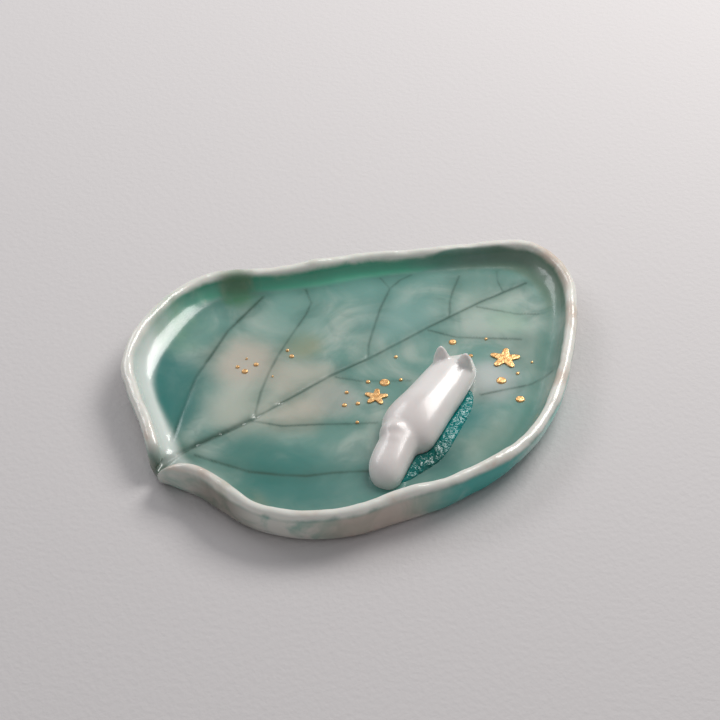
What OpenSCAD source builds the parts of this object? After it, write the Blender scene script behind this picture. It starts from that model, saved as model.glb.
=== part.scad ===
/* [Leaf dish] */
// Length of the leaf from the stem to the tip, over the rim
leaf_length = 122; // [100:1:150]
// Width of the leaf at its widest, over the rim
leaf_width = 97; // [80:1:125]
// Thickness of the clay sheet under the floor
floor_thickness = 3; // [2:0.1:5]
// Thickness of the rolled rim
rim_thickness = 3; // [2.4:0.1:4]
// Rise of the highest stretch of rim above the floor
rim_rise = 6.4; // [4:0.1:9]
// Sideways run of the gentlest stretch of wall, from the rim to the floor
wall_run = 7.5; // [4:0.1:9]
// Lean of the outer wall, from its foot out to the rim, where it leans most
wall_lean = 4.5; // [2:0.1:6]
// Roundness of the outer wall where it turns under to the foot
foot_roll = 2.2; // [1:0.1:3]

/* [Veins] */
// Width of the midrib groove at the stem
midrib_width = 1.9; // [1:0.1:3]
// Depth of the midrib groove at the stem
midrib_depth = 0.7; // [0.3:0.05:1.2]
// Width of a full side vein groove
vein_width = 1.1; // [0.6:0.1:2]
// Depth of a full side vein groove
vein_depth = 0.4; // [0.2:0.05:0.8]

/* [Fox body] */
// Length of the body from the rump to the nose
body_length = 36; // [28:0.5:44]
// Width of the body at the haunches
body_width = 14; // [10:0.5:16]
// Height of the back above the floor
body_height = 7.2; // [5:0.1:10]
// Turn of the fox from the midrib, in degrees
fox_heading = 28; // [10:1:45]
// Place of the middle of the fox along the leaf, as a share of half its length
fox_along = 0.08; // [0:0.01:0.2]
// Place of the middle of the fox across the leaf, as a share of half its width
fox_across = -0.43; // [-0.5:0.01:-0.3]

/* [Fox ears] */
// Height of an ear above the crown of the head
ear_rise = 2.6; // [1.5:0.1:5]
// Width of an ear at its root
ear_width = 4.9; // [3:0.1:5.5]
// Thickness of an ear from front to back at its root
ear_thickness = 2.8; // [1.6:0.1:3.5]
// Distance between the tips of the ears
ear_spacing = 6.2; // [4.5:0.1:8]
// Lean of an ear outwards, from its root to its tip
ear_splay = 0.5; // [0:0.1:1.5]

/* [Fox tail] */
// Length of the tail from its root in the back to its end
tail_length = 24; // [18:0.5:28]
// Width of the tail at its fullest
tail_width = 9.2; // [5:0.1:10]
// Height of the tail above the floor at its fullest
tail_height = 5.8; // [3:0.1:7]
// Bend of the tail from the line of the back, in degrees
tail_bend = 3; // [0:1:15]

/* [Glaze pool] */
// Width of the pool of glaze beside the fox
pool_width = 2.6; // [1:0.1:5]
// Depth of the pool of glaze at the fox's side
pool_depth = 0.9; // [0.3:0.05:1.5]

/* [Gold] */
// Height of the raised gold above the floor
gold_height = 0.35; // [0.2:0.05:0.8]
// Width of the large star over its points
large_star = 7; // [4:0.1:10]
// Width of the small star over its points
small_star = 5.4; // [3:0.1:7]
// Width of the largest gold dot
dot_size = 2.8; // [1.5:0.1:3.5]

/* [Hidden] */

half_length = (leaf_length - rim_thickness) / 2;
half_width = (leaf_width - rim_thickness) / 2;
rim_radius = rim_thickness / 2;

// The rim, once round from the stem notch by way of the right side: place along and across
// the leaf, rise above the floor, run of the inner wall, and lean of the outer wall from its
// foot to the rim, each as a share of its full size
RIM = [
    [-0.965, -0.01, 0.04, 0.40, 0.60], [-0.995, -0.07, 0.54, 0.25, 1.20],
    [-0.955, -0.12, 0.82, 0.30, 0.68], [-0.905, -0.22, 0.94, 0.45, 0.42],
    [-0.885, -0.37, 0.98, 0.45, 0.50], [-0.870, -0.53, 1.00, 0.45, 0.75],
    [-0.815, -0.67, 1.00, 0.45, 0.85], [-0.715, -0.79, 1.00, 0.40, 0.72],
    [-0.570, -0.88, 1.00, 0.40, 0.55], [-0.420, -0.915, 1.00, 0.40, 0.40],
    [-0.310, -0.95, 1.00, 0.40, 0.45], [-0.210, -0.99, 1.02, 0.45, 0.65],
    [-0.050, -1.00, 0.98, 0.45, 0.80], [0.100, -0.99, 0.90, 0.45, 1.00],
    [0.260, -0.93, 0.84, 0.50, 1.05], [0.430, -0.81, 0.82, 0.60, 0.85],
    [0.590, -0.65, 0.78, 0.72, 0.90], [0.750, -0.46, 0.74, 0.80, 1.00],
    [0.890, -0.265, 0.72, 0.80, 1.00], [0.970, -0.11, 0.72, 0.76, 1.00],
    [1.000, 0.05, 0.74, 0.64, 0.90], [0.975, 0.22, 0.78, 0.55, 0.80],
    [0.835, 0.355, 0.72, 0.42, 0.75], [0.640, 0.49, 0.64, 0.36, 0.70],
    [0.420, 0.65, 0.64, 0.36, 0.70], [0.220, 0.755, 0.72, 0.36, 0.70],
    [0.070, 0.83, 0.68, 0.36, 0.70], [-0.070, 0.92, 0.72, 0.40, 0.75],
    [-0.200, 0.993, 0.78, 0.55, 0.85], [-0.345, 0.985, 0.84, 0.75, 0.90],
    [-0.510, 0.91, 0.92, 0.90, 0.95], [-0.670, 0.79, 0.96, 0.95, 1.00],
    [-0.780, 0.65, 0.94, 0.90, 1.00], [-0.845, 0.47, 0.90, 0.75, 0.98],
    [-0.895, 0.27, 0.84, 0.60, 1.00], [-0.945, 0.11, 0.70, 0.50, 0.90],
    [-0.970, 0.035, 0.40, 0.40, 0.70]];
rim_steps = 4;
wall_steps = 5;
roll_steps = 7;
// Points to each side over which the rim's outward direction is evened out
normal_span = 6;
// Rise, as a share of the rim's thickness, from which the rim rolls right over
full_roll = 0.62;
// How far the wall keeps its first direction: level off the floor, down from the rim's inner
// side and down from its outer side, as shares of the run, the rise and the height
floor_sweep = 0.55;
inner_sweep = 0.35;
outer_sweep = 0.55;

// A point on the smooth curve between b and c, which passes through a, b, c and d
function between(a, b, c, d, t) =
    b + t / 2 * (c - a + t * (2 * a - 5 * b + 4 * c - d + t * (3 * (b - c) + d - a)));

// A closed smooth curve through the rows of a list, with steps points to each row
function closed_curve(rows, steps) = let (n = len(rows))
    [for (i = [0 : n - 1], k = [0 : steps - 1])
        between(rows[(i + n - 1) % n], rows[i], rows[(i + 1) % n], rows[(i + 2) % n], k / steps)];

// An open smooth curve through the rows of a list
function open_curve(rows, steps) = let (last = len(rows) - 1)
    [for (i = [0 : last - 1], k = [0 : steps - 1])
        between(rows[max(i - 1, 0)], rows[i], rows[i + 1], rows[min(i + 2, last)], k / steps),
        rows[last]];

// A point on the curve that leaves a towards b and reaches d from c
function bend(a, b, c, d, t) =
    pow(1 - t, 3) * a + 3 * t * pow(1 - t, 2) * b + 3 * t * t * (1 - t) * c + pow(t, 3) * d;

// The section of the dish from the floor's edge over the rim to the foot, as outward
// distance from the middle of the rim and height above the table
function dish_section(rise, run, lean) =
    let (
        roll = 90 * min(1, rise / (full_roll * rim_thickness)),
        middle = floor_thickness + rise - rim_radius,
        start = [-rim_radius * sin(roll), middle + rim_radius * cos(roll)],
        down = [-cos(roll), -sin(roll)],
        floor_edge = [start.x - run, floor_thickness],
        foot_edge = [rim_radius - lean, 0],
        outer = [rim_radius, middle])
    concat(
        [for (k = [0 : wall_steps - 1])
            bend(floor_edge, floor_edge + [run * floor_sweep, 0], start + down * rise * inner_sweep,
                start, k / wall_steps)],
        [for (k = [0 : roll_steps - 1])
            let (a = 90 + roll - (90 + roll) * k / roll_steps)
            [rim_radius * cos(a), middle + rim_radius * sin(a)]],
        [for (k = [0 : wall_steps])
            bend(outer, outer - [0, middle * outer_sweep], foot_edge + [foot_roll, 0], foot_edge,
                k / wall_steps)]);

// The skin between rings of points, closed by a fan at each end
module skin(rings, first_middle, last_middle) {
    n = len(rings);
    m = len(rings[0]);
    points = concat([for (ring = rings, p = ring) p], [first_middle, last_middle]);
    faces = concat(
        [for (i = [0 : n - 2], k = [0 : m - 1]) [i * m + k, i * m + (k + 1) % m, (i + 1) * m + k]],
        [for (i = [0 : n - 2], k = [0 : m - 1])
            [i * m + (k + 1) % m, (i + 1) * m + (k + 1) % m, (i + 1) * m + k]],
        [for (k = [0 : m - 1]) [n * m, (k + 1) % m, k]],
        [for (k = [0 : m - 1]) [n * m + 1, (n - 1) * m + k, (n - 1) * m + (k + 1) % m]]);
    polyhedron(points, faces);
}

// The dish without its veins: every section swept round the rim, with a flat floor and foot
module dish_blank() {
    crest = [for (p = closed_curve(RIM, rim_steps))
        [p.x * half_length, p.y * half_width, rim_rise * p[2], wall_run * p[3], wall_lean * p[4]]];
    n = len(crest);
    outward = [for (i = [0 : n - 1])
        let (d = crest[(i + normal_span) % n] - crest[(i + n - normal_span) % n])
        [d.y, -d.x] / norm([d.x, d.y])];
    sections = [for (p = crest) dish_section(p[2], p[3], p[4])];
    rings = [for (k = [0 : len(sections[0]) - 1])
        [for (i = [0 : n - 1])
            [crest[i].x + outward[i].x * sections[i][k].x,
             crest[i].y + outward[i].y * sections[i][k].x,
             sections[i][k].y]]];
    skin(rings, [0, 0, floor_thickness], [0, 0, 0]);
}

// The veins that the leaf pressed into the floor: width as a share of a full vein, then
// places along and across the leaf, from the root of the vein to its end
VEINS = [
    [1.1, [-0.955, 0.03], [-0.83, 0.155], [-0.75, 0.25], [-0.56, 0.46], [-0.44, 0.55],
        [-0.30, 0.66], [-0.16, 0.73], [-0.06, 0.78]],
    [0.9, [-0.52, 0.03], [-0.41, 0.17], [-0.32, 0.265], [-0.225, 0.35], [-0.115, 0.435],
        [0.015, 0.53], [0.075, 0.59], [0.11, 0.70]],
    [0.9, [0.05, 0.06], [0.10, 0.14], [0.17, 0.22], [0.28, 0.34], [0.39, 0.44], [0.46, 0.465],
        [0.515, 0.465]],
    [0.5, [0.39, 0.44], [0.40, 0.54]],
    [0.8, [0.47, 0.07], [0.535, 0.17], [0.59, 0.23], [0.67, 0.305]],
    [0.6, [0.745, 0.055], [0.775, 0.15], [0.815, 0.22]],
    [1.0, [-0.82, -0.02], [-0.71, -0.27], [-0.62, -0.385], [-0.55, -0.46], [-0.465, -0.515],
        [-0.37, -0.59], [-0.28, -0.68]],
    [0.8, [-0.535, 0.02], [-0.46, -0.10], [-0.35, -0.19], [-0.25, -0.28], [-0.155, -0.36]],
    [0.6, [-0.125, 0.04], [-0.06, -0.06], [0.10, -0.21]],
    [0.7, [0.35, 0.05], [0.41, -0.08], [0.51, -0.185], [0.61, -0.29]],
    [0.6, [0.60, 0.05], [0.70, -0.12], [0.77, -0.19]],
    [0.7, [0.265, -0.50], [0.355, -0.54], [0.45, -0.585], [0.50, -0.595], [0.56, -0.60]]];
MIDRIB = [[-0.985, -0.02], [-0.93, 0.03], [-0.78, 0.04], [-0.53, 0.03], [-0.135, 0.065],
    [0.055, 0.055], [0.37, 0.07], [0.63, 0.07], [0.86, 0.05]];
vein_sides = 6;
vein_steps = 2;
// Size of a groove at its end, as a share of its size at its root
midrib_end = 0.35;
vein_end = 0.4;

// A groove that tapers from its root to its end
module groove(places, root_width, root_depth, end_share) {
    path = open_curve([for (p = places) [p.x * half_length, p.y * half_width]], vein_steps);
    last = len(path) - 1;
    rings = [for (i = [0 : last])
        let (
            d = path[min(i + 1, last)] - path[max(i - 1, 0)],
            side = [-d.y, d.x] / norm(d),
            size = 1 + (end_share - 1) * i / last)
        [for (k = [0 : vein_sides - 1])
            let (a = -360 * (k + 0.5) / vein_sides)
            [path[i].x + side.x * cos(a) * root_width / 2 * size,
             path[i].y + side.y * cos(a) * root_width / 2 * size,
             floor_thickness + sin(a) * root_depth * size]]];
    skin(rings,
        [path[0].x, path[0].y, floor_thickness],
        [path[last].x, path[last].y, floor_thickness]);
}

module leaf_dish() {
    color("#8fb9ab")
    difference() {
        dish_blank();
        groove(MIDRIB, midrib_width, midrib_depth, midrib_end);
        for (vein = VEINS)
            groove([for (i = [1 : len(vein) - 1]) vein[i]],
                vein_width * vein[0], vein_depth * vein[0], vein_end);
    }
}

// The fox's own frame: its middle on the floor, its nose along +X
module on_floor() {
    translate([fox_along * half_length, fox_across * half_width, floor_thickness])
        rotate(fox_heading) children();
}

// Half a turn and a little more of a section that stands on the floor, wider above than at
// its foot: sideways place of its middle, half width, height and how far it tucks under
function arch(middle, out, up, tuck, sides) =
    [for (k = [0 : sides])
        let (a = 180 + tuck - (180 + 2 * tuck) * k / sides)
        [middle + out * cos(a), up * (sin(a) + sin(tuck)) / (1 + sin(tuck))]];

// A closed skin over arches that stand one behind the other along X
module arched_skin(path, tuck, sides) {
    last = len(path) - 1;
    rings = [for (p = path) [for (q = arch(p[1], p[2], p[3], tuck, sides)) [p[0], q.x, q.y]]];
    skin(rings,
        [path[0][0], path[0][1], path[0][3] / 2],
        [path[last][0], path[last][1], path[last][3] / 2]);
}

// Rump, haunches, back, neck, head and nose: place along the body, sideways place of the
// middle, width and height of each section, as shares of the body's sizes
BACK = [
    [-0.505, 0.02, 0.34, 0.34], [-0.48, 0.02, 0.62, 0.58], [-0.42, 0.03, 0.90, 0.80],
    [-0.33, 0.06, 1.00, 0.94], [-0.22, 0.06, 1.00, 1.00], [-0.08, 0.03, 0.91, 1.00],
    [0.08, 0.00, 0.86, 0.97], [0.20, -0.01, 0.81, 0.94], [0.29, -0.02, 0.76, 0.88],
    [0.35, -0.02, 0.68, 0.70], [0.41, -0.02, 0.54, 0.52], [0.46, -0.02, 0.36, 0.38],
    [0.50, -0.02, 0.22, 0.29], [0.515, -0.02, 0.10, 0.20]];
body_tuck = 35;
body_sides = 20;
module body_skin() {
    path = [for (p = open_curve(BACK, 2))
        [p[0] * body_length, p[1] * body_width, p[2] * body_width / 2, p[3] * body_height]];
    arched_skin(path, body_tuck, body_sides);
}
module fox_body() {
    color("#efe9e6")
    on_floor() body_skin();
}

// Ears: flat cones with round tips, pressed on the crown. Each row is a level's height from
// the root to the tip, its width and thickness, and its shift out towards the tip
EAR = [[0, 1.00, 1.00, 0], [0.35, 0.92, 0.92, 0.3], [0.62, 0.70, 0.74, 0.6],
    [0.82, 0.46, 0.54, 0.9], [0.94, 0.26, 0.34, 1], [1, 0.08, 0.12, 1]];
ear_sides = 16;
// Place of the crown along the body and its height, as shares of the body's sizes
crown_share = 0.29;
crown_height = 0.90;
ear_root_depth = 3;
module ear(side) {
    crown = [crown_share * body_length, body_height * crown_height];
    root = ear_spacing / 2 - ear_splay;
    low = crown.y - ear_root_depth;
    rings = [for (p = EAR)
        [for (k = [0 : ear_sides - 1])
            let (a = -360 * k / ear_sides)
            [crown.x + p[2] * ear_thickness / 2 * cos(a),
             side * (root + p[3] * ear_splay) + p[1] * ear_width / 2 * sin(a),
             low + p[0] * (ear_root_depth + ear_rise)]]];
    difference() {
        skin(rings,
            [crown.x, side * root, low],
            [crown.x, side * (root + ear_splay), crown.y + ear_rise]);
        body_skin();
    }
}
module fox_left_ear() {
    color("#f3edea")
    on_floor() ear(1);
}
module fox_right_ear() {
    color("#f3edea")
    on_floor() ear(-1);
}

// Tail: a thick brush that lies back from the rump on the floor. Each row is the place along
// the tail, sideways place of the middle, width and height, as shares of the tail's sizes
BRUSH = [
    [0, 0, 0.62, 0.84], [0.12, -0.03, 0.80, 1.04], [0.30, -0.09, 0.94, 1.06],
    [0.55, -0.13, 1.00, 1.00], [0.78, -0.10, 0.97, 0.88], [0.90, -0.05, 0.82, 0.70],
    [0.97, -0.01, 0.56, 0.46], [1, 0, 0.26, 0.24]];
tail_root = [-0.18, 0.04];
tail_tuck = 30;
tail_sides = 18;
module tail_skin() {
    path = [for (p = open_curve(BRUSH, 2))
        [p[0] * tail_length, p[1] * tail_width, p[2] * tail_width / 2, p[3] * tail_height]];
    translate([tail_root.x * body_length, tail_root.y * body_width, 0])
        rotate(180 + tail_bend) arched_skin(path, tail_tuck, tail_sides);
}
module fox_tail() {
    color("#ece5e3")
    on_floor()
        difference() {
            tail_skin();
            body_skin();
        }
}

// Pool: clear glaze that ran together along the right side of the fox. Each row is the place
// along the body, how far out the fox's side lies, and how far the glaze reaches beyond it
POOL = [
    [-0.76, 0.45, 0.10], [-0.71, 0.50, 0.60], [-0.62, 0.55, 1.00], [-0.52, 0.75, 1.05],
    [-0.42, 0.92, 1.00], [-0.28, 0.92, 1.00], [-0.12, 0.88, 1.00], [0.05, 0.85, 0.95],
    [0.18, 0.80, 0.60], [0.26, 0.70, 0.10]];
pool_sides = 12;
module glaze_pool() {
    path = [for (p = open_curve(POOL, 2))
        let (side = p[1] * body_width / 2, out = p[2] * pool_width)
        [p[0] * body_length, -(side + out) / 2, (side + out) / 2, p[2] * pool_depth]];
    color("#0c7f78")
    on_floor()
        difference() {
            arched_skin(path, 0, pool_sides);
            body_skin();
            tail_skin();
        }
}

// Gold: raised stars and dots on the floor, at a place along and across the leaf
module on_leaf(place) {
    translate([place.x * half_length, place.y * half_width, floor_thickness]) children();
}

// A star with five rounded rays: roundness of a tip and depth of a valley between two rays,
// as shares of the star's width
star_tip = 0.10;
star_valley = 0.24;
module star(width) {
    tip = star_tip * width;
    reach = width / 2 / cos(18) - tip;
    valley = star_valley * width;
    linear_extrude(gold_height)
        polygon([for (ray = [0 : 4])
            let (turn = 90 + 72 * ray)
            for (q = concat(
                [for (a = [-75 : 50 : 75])
                    [reach * cos(turn) + tip * cos(turn + a), reach * sin(turn) + tip * sin(turn + a)]],
                [[valley * cos(turn + 36), valley * sin(turn + 36)]]))
                q]);
}

// A group of dots: place along and across the leaf, and size of each
dot_top = 0.7;
dot_sides = 24;
module dots(group) {
    for (dot = group)
        let (width = dot_size * dot[2])
        on_leaf(dot)
            cylinder(gold_height, d1 = width, d2 = width * dot_top, $fn = dot_sides);
}

module gold_large_star() {
    color("#c9964a")
    on_leaf([0.48, -0.36]) rotate(fox_heading) star(large_star);
}
module gold_small_star() {
    color("#c9964a")
    on_leaf([-0.07, -0.205]) rotate(fox_heading) star(small_star);
}
module gold_dots_stem() {
    color("#c9964a")
    dots([[-0.39, 0.345, 0.6], [-0.33, 0.355, 0.48], [-0.397, 0.395, 0.38], [-0.34, 0.42, 0.22],
        [-0.32, 0.23, 0.2], [-0.18, 0.35, 0.34], [-0.188, 0.3, 0.46]]);
}
module gold_dots_middle() {
    color("#c9964a")
    dots([[-0.145, -0.09, 0.38], [-0.197, -0.16, 0.46], [-0.15, -0.19, 0.42], [-0.218, -0.3, 0.34],
        [-0.04, -0.09, 0.42], [0.01, -0.143, 1], [0.07, -0.175, 0.34], [0.14, -0.02, 0.34]]);
}
module gold_dots_tip() {
    color("#c9964a")
    dots([[0.378, -0.1, 0.74], [0.497, -0.183, 0.3], [0.383, -0.24, 0.42], [0.551, -0.464, 0.25],
        [0.462, -0.487, 0.35], [0.383, -0.48, 0.95], [0.37, -0.645, 0.88]]);
}

leaf_dish();
fox_body();
fox_left_ear();
fox_right_ear();
fox_tail();
glaze_pool();
gold_large_star();
gold_small_star();
gold_dots_stem();
gold_dots_middle();
gold_dots_tip();
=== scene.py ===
import bmesh
import bpy
import math
import numpy as np
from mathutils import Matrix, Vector, noise as wander_noise


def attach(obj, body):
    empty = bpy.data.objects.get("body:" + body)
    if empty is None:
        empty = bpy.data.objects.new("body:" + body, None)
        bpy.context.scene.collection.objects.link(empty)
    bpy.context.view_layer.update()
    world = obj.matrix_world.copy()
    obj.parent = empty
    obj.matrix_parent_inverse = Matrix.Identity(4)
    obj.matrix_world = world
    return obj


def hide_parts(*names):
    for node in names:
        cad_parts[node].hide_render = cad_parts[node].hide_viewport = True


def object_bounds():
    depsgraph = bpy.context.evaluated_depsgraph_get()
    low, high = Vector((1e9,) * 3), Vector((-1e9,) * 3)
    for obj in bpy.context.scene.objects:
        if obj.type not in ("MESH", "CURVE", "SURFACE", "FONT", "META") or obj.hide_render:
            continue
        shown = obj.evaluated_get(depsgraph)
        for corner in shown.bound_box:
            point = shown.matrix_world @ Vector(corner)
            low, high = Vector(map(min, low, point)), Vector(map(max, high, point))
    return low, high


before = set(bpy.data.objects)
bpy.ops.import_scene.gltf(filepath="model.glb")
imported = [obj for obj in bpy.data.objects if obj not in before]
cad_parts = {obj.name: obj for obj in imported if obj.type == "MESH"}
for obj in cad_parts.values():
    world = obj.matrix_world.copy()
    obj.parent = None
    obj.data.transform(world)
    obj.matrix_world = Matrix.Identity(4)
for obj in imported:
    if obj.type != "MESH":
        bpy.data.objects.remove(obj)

scene = bpy.context.scene
cad_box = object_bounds()

# Camera and light: the dish is seen from its near stem side, from 40 degrees above the table.
# Soft daylight comes from a window at the far right and a weaker one at the far left.
camera_spot = Vector((-0.2551, -0.3364, 0.3600))
camera_target = Vector((0.0031, 0.0062, 0))
camera_lens = 117.6
sky_colour = (0.80, 0.80, 0.82, 1)
sky_strength = 0.50


def facing(spot, target):
    """How a camera or lamp turns at one spot to look at another."""
    return (target - spot).to_track_quat("-Z", "Y").to_euler()


camera = bpy.data.objects.new("camera", bpy.data.cameras.new("camera"))
scene.collection.objects.link(camera)
camera.location = camera_spot
camera.rotation_euler = facing(camera_spot, camera_target)
camera.data.lens = camera_lens
scene.camera = camera


def soft_light(name, spot, size, power, colour):
    """Daylight from a window of this width and height, aimed at the middle of the dish."""
    lamp = bpy.data.lights.new(name, "AREA")
    lamp.shape = "RECTANGLE"
    lamp.size, lamp.size_y = size
    lamp.energy = power
    lamp.color = colour
    holder = bpy.data.objects.new(name, lamp)
    holder.location = spot
    holder.rotation_euler = facing(Vector(spot), Vector((0, 0, 0)))
    scene.collection.objects.link(holder)


soft_light("window", spot=(0.42, 0.10, 0.40), size=(0.34, 0.26), power=2.5, colour=(1.0, 0.985, 0.96))
soft_light("far_window", spot=(-0.05, 0.55, 0.42), size=(0.5, 0.2), power=1.1, colour=(0.97, 0.98, 1.0))

scene.view_settings.view_transform = "Standard"
world = bpy.data.worlds.new("studio")
world.use_nodes = True
sky = world.node_tree.nodes["Background"]
sky.inputs["Color"].default_value = sky_colour
sky.inputs["Strength"].default_value = sky_strength
scene.world = world

# Table: a sheet of heavy pale paper under the dish, with a fine tooth. It only catches the
# soft shadow and isn't part of the object.
table_reach = 2
paper_colour = (0.60, 0.575, 0.575, 1)


def start_material(name):
    """A new material, its nodes and links, its shader, and the place on the piece for patterns."""
    material = bpy.data.materials.new(name)
    material.use_nodes = True
    nodes = material.node_tree.nodes
    place = nodes.new("ShaderNodeTexCoord").outputs["Object"]
    return material, nodes, material.node_tree.links, nodes["Principled BSDF"], place


def set_sockets(node, values):
    for socket, value in values.items():
        node.inputs[socket].default_value = value


# No surface here is quite even. Each material has this relief at its own scale and height.
relief_values = ("Scale", "Detail", "Distortion", "Strength", "Distance")
relief = bpy.data.node_groups.new("uneven_surface", "ShaderNodeTree")
for value in relief_values:
    relief.interface.new_socket(value, in_out="INPUT", socket_type="NodeSocketFloat")
relief.interface.new_socket("Normal", in_out="OUTPUT", socket_type="NodeSocketVector")
relief_in = relief.nodes.new("NodeGroupInput")
relief_out = relief.nodes.new("NodeGroupOutput")
relief_place = relief.nodes.new("ShaderNodeTexCoord")
relief_noise = relief.nodes.new("ShaderNodeTexNoise")
relief_bump = relief.nodes.new("ShaderNodeBump")
relief.links.new(relief_place.outputs["Object"], relief_noise.inputs["Vector"])
relief.links.new(relief_noise.outputs["Fac"], relief_bump.inputs["Height"])
relief.links.new(relief_bump.outputs["Normal"], relief_out.inputs["Normal"])
for value in relief_values:
    reader = relief_bump if value in ("Strength", "Distance") else relief_noise
    relief.links.new(relief_in.outputs[value], reader.inputs[value])


def add_relief(scale, height, strength, detail=2.0, distortion=0.0):
    """Give the material at hand the uneven surface, with its height in metres."""
    node = nodes.new("ShaderNodeGroup")
    node.node_tree = relief
    set_sockets(node, {"Scale": scale, "Detail": detail, "Distortion": distortion,
                       "Strength": strength, "Distance": height})
    links.new(node.outputs["Normal"], shader.inputs["Normal"])


paper, nodes, links, shader, place = start_material("paper")
set_sockets(shader, {"Base Color": paper_colour, "Roughness": 0.85})
add_relief(scale=700, height=0.0004, strength=0.35)

table_mesh = bmesh.new()
bmesh.ops.create_grid(table_mesh, x_segments=1, y_segments=1, size=table_reach)
table_data = bpy.data.meshes.new("table")
table_mesh.to_mesh(table_data)
table_mesh.free()
table = bpy.data.objects.new("table", table_data)
table_data.materials.append(paper)
scene.collection.objects.link(table)

# Leaf dish: a sheet of porcelain pressed with a leaf and turned up at its edge, then dipped in
# a glaze that breaks white on the rim and gathers dark in the veins and corners.
floor_height = 0.003
half_length = 0.0595
half_width = 0.047
weld = 1e-6
just_above_floor = 0.00005
brush_pressure = 0.5
ball_divisions = 3


def mesh_with_modifiers(holder):
    return bpy.data.meshes.new_from_object(
        holder.evaluated_get(bpy.context.evaluated_depsgraph_get()))


def clay_from(name, sources, pitch, rounds, sunk=None, softness=None, pads=()):
    """One smooth skin over CAD nodes, as clay and glaze run together in the firing.

    Its cells have the size pitch and it is smoothed so many rounds, at each place by as much as
    softness says. An underside on the floor is sunk that far into it, and pads are balls of
    clay, each with a place and a radius, that fill a joint.
    """
    lump = bmesh.new()
    for source in sources:
        lump.from_mesh(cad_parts[source].data)
    bmesh.ops.remove_doubles(lump, verts=lump.verts, dist=weld)
    if sunk:
        for vert in lump.verts:
            if vert.co.z < floor_height + just_above_floor:
                vert.co.z = floor_height - sunk
    for spot, radius in pads:
        ball = bmesh.ops.create_icosphere(lump, subdivisions=ball_divisions, radius=radius)
        bmesh.ops.translate(lump, verts=ball["verts"], vec=spot)
    data = bpy.data.meshes.new(name)
    lump.to_mesh(data)
    lump.free()
    raw = bpy.data.objects.new(name + "_raw", data)
    scene.collection.objects.link(raw)
    skin = raw.modifiers.new("skin", "REMESH")
    skin.mode = "VOXEL"
    skin.voxel_size = pitch
    if softness:
        raw.data = mesh_with_modifiers(raw)
        raw.modifiers.remove(skin)
        soft_places = raw.vertex_groups.new(name="soft")
        for vert in raw.data.vertices:
            soft_places.add([vert.index], softness(vert.co), "REPLACE")
    brush = raw.modifiers.new("brush", "SMOOTH")
    brush.factor = brush_pressure
    brush.iterations = rounds
    if softness:
        brush.vertex_group = "soft"
    ready = mesh_with_modifiers(raw)
    bpy.data.objects.remove(raw)
    ready.name = name
    ready.materials.clear()
    for face in ready.polygons:
        face.use_smooth = True
    piece = bpy.data.objects.new(name, ready)
    scene.collection.objects.link(piece)
    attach(piece, "root")
    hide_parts(*sources)
    return piece


# The crest of the rim, found on the CAD dish: its distance from the middle of the leaf and its
# height, at even bearings round it
bearings = 120
crest_thickness = 0.0004


def turn_of(spots):
    """The bearing of each spot, from 0 up to the number of bearings."""
    return (np.arctan2(spots[:, 1], spots[:, 0]) / math.tau) % 1 * bearings


leaf_points = np.array([v.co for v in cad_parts["leaf_dish"].data.vertices])
leaf_turn = turn_of(leaf_points)
crest_reach = np.zeros(bearings)
crest_height = np.zeros(bearings)
for bearing in range(bearings):
    apart = np.abs((leaf_turn - bearing + bearings / 2) % bearings - bearings / 2)
    near = leaf_points[apart < 1]
    top = near[near[:, 2] >= near[:, 2].max() - crest_thickness]
    crest_height[bearing] = near[:, 2].max()
    crest_reach[bearing] = np.hypot(top[:, 0], top[:, 1]).mean()
for values in (crest_reach, crest_height):
    values[:] = (np.roll(values, 1) + values * 2 + np.roll(values, -1)) / 4

dish = clay_from("leaf_dish_glazed", ["leaf_dish"], pitch=0.00050, rounds=12)


def read_vectors(kind):
    values = np.empty(len(dish.data.vertices) * 3)
    dish.data.vertices.foreach_get(kind, values)
    return values.reshape(-1, 3)


def at_bearing(values):
    """What the crest has at the bearing of each point of the dish."""
    return np.interp(turn_of(points), np.arange(bearings + 1), np.append(values, values[0]))


points = read_vectors("co")
normals = read_vectors("normal")
inward = at_bearing(crest_reach) - np.hypot(points[:, 0], points[:, 1])
height_here = at_bearing(crest_height)

# The pinched rim is never even: it wavers by a fraction of a millimetre along its crest, and
# stays inside the box of the CAD part
waver_height = 0.00038
slow_waves = 130
quick_waves = 330
quick_share = 0.4
rim_reach = 0.0032
foot_height = 0.0015
inside_box = 0.00005
tiny = 1e-6


def pinch(spot):
    slow = wander_noise.noise(Vector(spot * slow_waves))
    return slow + quick_share * wander_noise.noise(Vector(spot * quick_waves))


on_rim = np.exp(-(inward / rim_reach) ** 2) * (points[:, 2] > foot_height)
waver = np.array([pinch(spot) for spot in points]) * on_rim * waver_height
points += normals * waver[:, None]
cad_low, cad_high = (np.array(corner) for corner in cad_box)
points = np.clip(points, cad_low + (inside_box, inside_box, 0), cad_high - inside_box)
away_from_middle = points[:, :2] / np.hypot(points[:, 0], points[:, 1]).clip(tiny)[:, None]
outward = (normals[:, :2] * away_from_middle).sum(axis=1)
dish.data.vertices.foreach_set("co", points.ravel())

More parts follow.
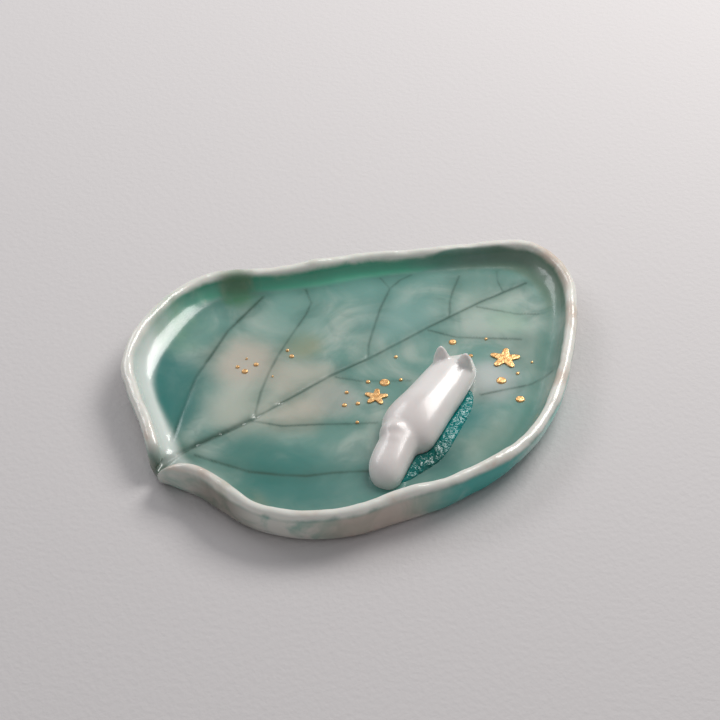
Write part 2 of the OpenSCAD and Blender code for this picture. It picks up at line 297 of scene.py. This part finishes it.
# The pressed veins: width in metres, strength, and places along and across the leaf as shares
# of half its size
veins = [
    (0.00075, 1.0, [(-0.985, -0.02), (-0.93, 0.03), (-0.78, 0.04), (-0.53, 0.03)]),
    (0.00040, 0.75, [(-0.53, 0.03), (-0.135, 0.065), (0.055, 0.055), (0.37, 0.07), (0.63, 0.07),
                     (0.86, 0.05)]),
    (0.00042, 0.9, [(-0.955, 0.03), (-0.83, 0.155), (-0.75, 0.25), (-0.56, 0.46), (-0.44, 0.55),
                    (-0.30, 0.66), (-0.16, 0.73), (-0.06, 0.78)]),
    (0.00032, 0.6, [(-0.52, 0.03), (-0.41, 0.17), (-0.32, 0.265), (-0.225, 0.35), (-0.115, 0.435),
                    (0.015, 0.53), (0.075, 0.59), (0.11, 0.70)]),
    (0.00032, 0.6, [(0.05, 0.06), (0.10, 0.14), (0.17, 0.22), (0.28, 0.34), (0.39, 0.44),
                    (0.46, 0.465), (0.515, 0.465)]),
    (0.00025, 0.45, [(0.39, 0.44), (0.40, 0.54)]),
    (0.00030, 0.55, [(0.47, 0.07), (0.535, 0.17), (0.59, 0.23), (0.67, 0.305)]),
    (0.00025, 0.5, [(0.745, 0.055), (0.775, 0.15), (0.815, 0.22)]),
    (0.00042, 0.85, [(-0.82, -0.02), (-0.71, -0.27), (-0.62, -0.385), (-0.55, -0.46),
                     (-0.465, -0.515), (-0.37, -0.59), (-0.28, -0.68)]),
    (0.00034, 0.7, [(-0.535, 0.02), (-0.46, -0.10), (-0.35, -0.19), (-0.25, -0.28),
                    (-0.155, -0.36)]),
    (0.00028, 0.5, [(-0.125, 0.04), (-0.06, -0.06), (0.10, -0.21)]),
    (0.00032, 0.7, [(0.35, 0.05), (0.41, -0.08), (0.51, -0.185), (0.61, -0.29)]),
    (0.00028, 0.5, [(0.60, 0.05), (0.70, -0.12), (0.77, -0.19)]),
    (0.00034, 0.8, [(0.265, -0.50), (0.355, -0.54), (0.45, -0.585), (0.50, -0.595),
                    (0.56, -0.60)])]
halo_width = 0.0026
deeper_than_veins = 0.0012
on_floor = (inward > 0) & (points[:, 2] > floor_height - deeper_than_veins)
line = np.zeros(len(points))
halo = np.zeros(len(points))
for width, strength, shares in veins:
    path = np.array(shares) * (half_length, half_width)
    for start, end in zip(path[:-1], path[1:]):
        step = end - start
        along = np.clip(((points[:, :2] - start) @ step) / (step @ step), 0, 1)
        aside = np.hypot(*(points[:, :2] - start - along[:, None] * step).T)
        line = np.maximum(line, strength * np.exp(-(aside / width) ** 2))
        halo = np.maximum(halo, strength * np.exp(-(aside / halo_width) ** 2))

# What the glaze reads on the dish. Its distances, stains and bands are in millimetres.
metre = 1000
for name, values in (
        ("vein", line * on_floor),
        ("vein_halo", halo * on_floor),
        ("inward", inward * metre),
        ("below_crest", (height_here - points[:, 2]) * metre),
        ("outward", outward)):
    layer = dish.data.attributes.new(name, "FLOAT", "POINT")
    layer.data.foreach_set("value", values.astype(np.float32))


# These build a pattern in the material at hand, by its nodes, links and place
def attribute(name):
    node = nodes.new("ShaderNodeAttribute")
    node.attribute_name = name
    return node.outputs["Fac"]


def noise(scale, detail, distortion=0.0, offset=(0, 0, 0)):
    shift = nodes.new("ShaderNodeMapping")
    shift.inputs["Location"].default_value = offset
    links.new(place, shift.inputs["Vector"])
    node = nodes.new("ShaderNodeTexNoise")
    set_sockets(node, {"Scale": scale, "Detail": detail, "Distortion": distortion})
    links.new(shift.outputs["Vector"], node.inputs["Vector"])
    return node.outputs["Fac"]


def rising(value, low, high, first=0.0, last=1.0):
    """From first at a low value to last at a high one, with a soft start and end."""
    node = nodes.new("ShaderNodeMapRange")
    node.interpolation_type = "SMOOTHSTEP"
    set_sockets(node, {"From Min": low, "From Max": high, "To Min": first, "To Max": last})
    links.new(value, node.inputs["Value"])
    return node.outputs["Result"]


def falling(value, low, high):
    return rising(value, low, high, first=1.0, last=0.0)


def arithmetic(operation, first, second):
    node = nodes.new("ShaderNodeMath")
    node.operation = operation
    links.new(first, node.inputs[0])
    if isinstance(second, float):
        node.inputs[1].default_value = second
    else:
        links.new(second, node.inputs[1])
    return node.outputs["Value"]


def times(first, second):
    return arithmetic("MULTIPLY", first, second)


def plus(first, second):
    return arithmetic("ADD", first, second)


def linear(red, green, blue):
    """A colour for a shader, given as it shows on screen, 0 to 255."""
    shares = [c / 255 for c in (red, green, blue)]
    return (*[c / 12.92 if c <= 0.04045 else ((c + 0.055) / 1.055) ** 2.4 for c in shares], 1)


def mix(under, over, amount):
    node = nodes.new("ShaderNodeMix")
    node.data_type = "RGBA"
    links.new(amount, node.inputs[0])
    colours = [s for s in node.inputs if s.type == "RGBA"]
    for socket, colour in zip(colours, (under, over)):
        if isinstance(colour, tuple):
            socket.default_value = colour
        else:
            links.new(colour, socket)
    return [s for s in node.outputs if s.type == "RGBA"][0]


wander_share = 0.9
fade_reach = 1.95


def glaze_wander():
    """The slow wandering of the edges of stains and of painted shade."""
    return noise(75, 5, 0.6, (0.03, 0.01, 0))


def patch(x, y, radius, edge=0.6, squash=1.0):
    """A round patch with a wandering edge. A high edge is a soft one, and squash flattens it."""
    spot = nodes.new("ShaderNodeMapping")
    set_sockets(spot, {"Location": (-x / metre, -y / metre * squash, 0), "Scale": (1, squash, 0)})
    links.new(place, spot.inputs["Vector"])
    away = nodes.new("ShaderNodeVectorMath")
    away.operation = "LENGTH"
    links.new(spot.outputs["Vector"], away.inputs[0])
    wandered = plus(away.outputs["Value"], times(wander, radius / metre * wander_share))
    reach = radius / metre * fade_reach
    return falling(wandered, reach * (1 - edge), reach)


def stains_and_shade(under, stains, within=None):
    """Soft stains and painted shade over a glaze: x, y, radius, colour, strength and, where it differs,
    form.
    """
    for x, y, radius, shade, strength, *form in stains:
        amount = times(patch(x, y, radius, *form), strength)
        if within is not None:
            amount = times(amount, within)
        over = linear(*shade) if isinstance(shade, tuple) else shade
        under = mix(under, over, amount)
    return under


leaf_glaze, nodes, links, shader, place = start_material("leaf_glaze")
wander = glaze_wander()
mottle = noise(48, 6, 1.2)
streak = noise(130, 5, 0.8, (0.2, 0.1, 0))
inward_mm = attribute("inward")
below_mm = attribute("below_crest")

# The floor: a grey-green glaze over white clay, paler and pinker where it lies thin
colour = mix(linear(101, 143, 133), linear(160, 176, 166), rising(mottle, 0.36, 0.66))
colour = mix(colour, linear(92, 128, 120), times(rising(streak, 0.50, 0.74), 0.55))
colour = stains_and_shade(colour, [
    (-20.4, 18.5, 9, (186, 177, 163), 0.85), (-14.3, 5.3, 8, (176, 174, 160), 0.75),
    (-12.3, -4.7, 6, (156, 158, 150), 0.6), (-22.6, -2.2, 7, (182, 175, 160), 0.75),
    (-31, 5, 9, (186, 186, 172), 0.7), (20.8, -20.8, 7, (184, 190, 187), 0.85),
    (38.7, 0.9, 7, (170, 188, 176), 0.6), (38.4, -6.6, 5, (152, 180, 160), 0.6),
    (-6.4, 15.8, 5, (138, 142, 112), 0.7), (17.7, 9.5, 9, (122, 160, 154), 0.6),
    (-39.5, -8, 8, (50, 112, 102), 0.75), (-37, -21, 11, (34, 112, 104), 0.9),
    (-26, -30, 12, (70, 122, 114), 0.7), (8, -38, 9, (104, 134, 120), 0.7),
    (24, 26, 12, (100, 148, 140), 0.6), (46, 10, 9, (98, 134, 124), 0.6),
    (36, -20, 8, (104, 132, 120), 0.7), (-3, 26, 9, (108, 150, 140), 0.6)])

# The glaze gathers where the floor meets the wall and round the fox, deepest at the far stem
# corner
foot_of_wall = times(rising(inward_mm, 2.2, 4.2), falling(inward_mm, 5.0, 11.0))
colour = mix(colour, linear(62, 122, 110), times(foot_of_wall, 0.50))
colour = stains_and_shade(colour, [
    (-40, 27, 10, (24, 112, 106), 0.95, 0.8), (-44, 16, 7, (36, 116, 108), 0.75, 0.8),
    (-8.6, 38.5, 7, (30, 92, 78), 0.6, 0.8), (30, 27, 7, (36, 88, 74), 0.6, 0.9, 1.6),
    (7, -27.5, 8, (6, 122, 118), 0.8, 0.7, 1.3), (-7, -34.5, 8, (10, 92, 84), 0.85, 0.7, 1.3)])

# The pressed veins hold the most pigment, and all of them meet at the stem
colour = mix(colour, linear(52, 100, 88), times(attribute("vein_halo"), times(streak, 0.95)))
colour = stains_and_shade(colour, [(-53, 2, 6, (36, 82, 64), 0.85, 0.8)])
vein_depth = rising(streak, 0.30, 0.60, first=0.6, last=1.0)
colour = mix(colour, linear(34, 70, 56), times(attribute("vein"), vein_depth))

# On the wall the glaze runs thin: white at the far stem corner, stained bands elsewhere.
# At the tip the inner wall is darkened to olive as painted shade.
far_green = mix(linear(66, 158, 128), linear(150, 172, 140), rising(mottle, 0.48, 0.62))
colour = stains_and_shade(colour, [(-52, 24, 26, (214, 222, 216), 0.9, 0.4)], falling(inward_mm, 4.2, 7.0))
colour = stains_and_shade(colour, [(-45, 20, 13, (6, 104, 98), 0.85, 0.8)], rising(inward_mm, 4.6, 6.4))
colour = stains_and_shade(colour, [(18, 44, 34, far_green, 0.9, 0.4, 1.5)], falling(inward_mm, 3.4, 5.4))
# Painted shade: olive over the inner wall at the tip, where it faces away from the window
colour = stains_and_shade(colour, [(58, 6, 18, (92, 118, 98), 0.75, 0.5)], falling(inward_mm, 5.5, 8.0))
colour = stains_and_shade(colour, [(40, 27, 6, (44, 78, 56), 0.8, 0.8)])

# The crest is white with a ragged lower edge, and green has run over it in a few places
ragged = plus(below_mm, times(streak, 2.4))
crest = times(falling(ragged, 1.9, 3.4), falling(inward_mm, 1.5, 2.4))
cream = mix(linear(226, 224, 216), linear(206, 190, 176), rising(mottle, 0.52, 0.68))
colour = mix(colour, cream, times(crest, 0.93))
colour = stains_and_shade(colour, [
    (-8.6, 41, 5, (58, 112, 78), 0.85), (-27, 38, 7, (92, 150, 118), 0.6),
    (14, 44, 7, (84, 146, 116), 0.55), (34, 38, 7, (96, 140, 104), 0.6),
    (47, 29, 6, (44, 88, 56), 0.8), (-52, -22, 6, (160, 150, 126), 0.6)],
    rising(mottle, 0.34, 0.56))

# Outside, teal washes over white along the near side, and brown painted shade darkens the stem end.
outer_wash_and_shade = mix(linear(208, 208, 200), linear(146, 178, 166), rising(streak, 0.42, 0.66))
# The last of these, brown on the outer wall at the stem end, is painted shade
outer_wash_and_shade = stains_and_shade(outer_wash_and_shade, [
    (-30, -46, 15, (176, 158, 146), 0.8, 0.7), (-1, -47, 15, (0, 150, 142), 0.97, 0.6),
    (26, -40, 15, (120, 206, 194), 0.85, 0.7), (-54, -18, 10, (110, 96, 80), 0.7, 0.7)])
outside = rising(attribute("outward"), 0.05, 0.40)
colour = mix(colour, outer_wash_and_shade, times(outside, rising(below_mm, 1.0, 2.4)))
colour = stains_and_shade(colour, [(-58, 0, 4.5, (44, 74, 54), 0.9, 0.8)])

links.new(colour, shader.inputs["Base Color"])
set_sockets(shader, {"Roughness": 0.26, "Coat Weight": 0.35, "Coat Roughness": 0.05,
                     "Subsurface Weight": 0.06, "Subsurface Scale": 0.001})
add_relief(scale=120, height=0.0008, strength=0.25)
dish.data.materials.append(leaf_glaze)

# Fox: body, ears and tail of white porcelain, luted together and smoothed with a wet brush,
# so that the joints are soft creases, then fired under a clear glaze on the dish.
tail_root = Vector((-0.0100, -0.0262, 0.0070))
tail_soft_reach = 0.016
tail_soft_fade = 0.006
body_softness = 0.25
head_start = 0.008
ear_foot = 0.0090
ear_top = 0.0106
ear_foot_softness = 0.45
ear_softness = 0.15
tail_joint_clay = [
    ((-0.0108, -0.0252, 0.0062), 0.0036), ((-0.0064, -0.0246, 0.0066), 0.0032),
    ((-0.0129, -0.0276, 0.0056), 0.0035)]


def wet_brush(spot):
    """How far a place on the fox is smoothed: most round the root of the tail, least on the ears."""
    if spot.x > head_start and spot.z > ear_foot:
        return ear_softness if spot.z > ear_top else ear_foot_softness
    nearness = (tail_soft_reach - (spot - tail_root).length) / tail_soft_fade
    return body_softness + (1 - body_softness) * max(0, min(1, nearness))


fox = clay_from("fox_porcelain", ["fox_body", "fox_left_ear", "fox_right_ear", "fox_tail"],
                pitch=0.00034, rounds=45, sunk=0.0008, softness=wet_brush, pads=tail_joint_clay)
porcelain, nodes, links, shader, place = start_material("white_porcelain")
colour = mix(linear(216, 208, 205), linear(229, 225, 222), rising(noise(60, 4), 0.35, 0.65))
links.new(colour, shader.inputs["Base Color"])
set_sockets(shader, {"Roughness": 0.30, "Coat Weight": 0.35, "Coat Roughness": 0.12,
                     "Subsurface Weight": 0.25, "Subsurface Radius": (1.0, 0.7, 0.6),
                     "Subsurface Scale": 0.0012})
add_relief(scale=110, height=0.0008, strength=0.18)
fox.data.materials.append(porcelain)

# Glaze pool: coloured glass that melted off the fox and ran together at its right side, thick
# and dark against the body, with a rippled skin where it met the cooler floor glaze.
pool = clay_from("glaze_pool_glass", ["glaze_pool"], pitch=0.00025, rounds=4, sunk=0.0006)
glass, nodes, links, shader, place = start_material("pooled_glass")
wander = glaze_wander()
colour = mix(linear(8, 122, 118), linear(0, 128, 126), patch(5, -27, 10, 0.8))
colour = stains_and_shade(colour, [(-7, -34, 8, (14, 84, 76), 0.9, 0.8)])
links.new(colour, shader.inputs["Base Color"])
set_sockets(shader, {"Roughness": 0.10, "Specular IOR Level": 0.35})
add_relief(scale=420, height=0.0012, strength=1.0, detail=3, distortion=0.5)
pool.data.materials.append(glass)

# Gold: stars and dots of gold lustre over raised dots of glaze. The firing pulls their edges
# round and leaves a faintly hammered skin.
gold, nodes, links, shader, place = start_material("gold_lustre")
colour = mix(linear(240, 194, 136), linear(208, 156, 100), rising(noise(900, 3), 0.40, 0.66))
links.new(colour, shader.inputs["Base Color"])
set_sockets(shader, {"Metallic": 1.0, "Roughness": 0.34})
add_relief(scale=1500, height=0.0003, strength=0.3)
for mark in ("gold_large_star", "gold_small_star", "gold_dots_stem", "gold_dots_middle",
             "gold_dots_tip"):
    raised = clay_from(mark + "_fired", [mark], pitch=0.00009, rounds=5, sunk=0.0004)
    raised.data.materials.append(gold)
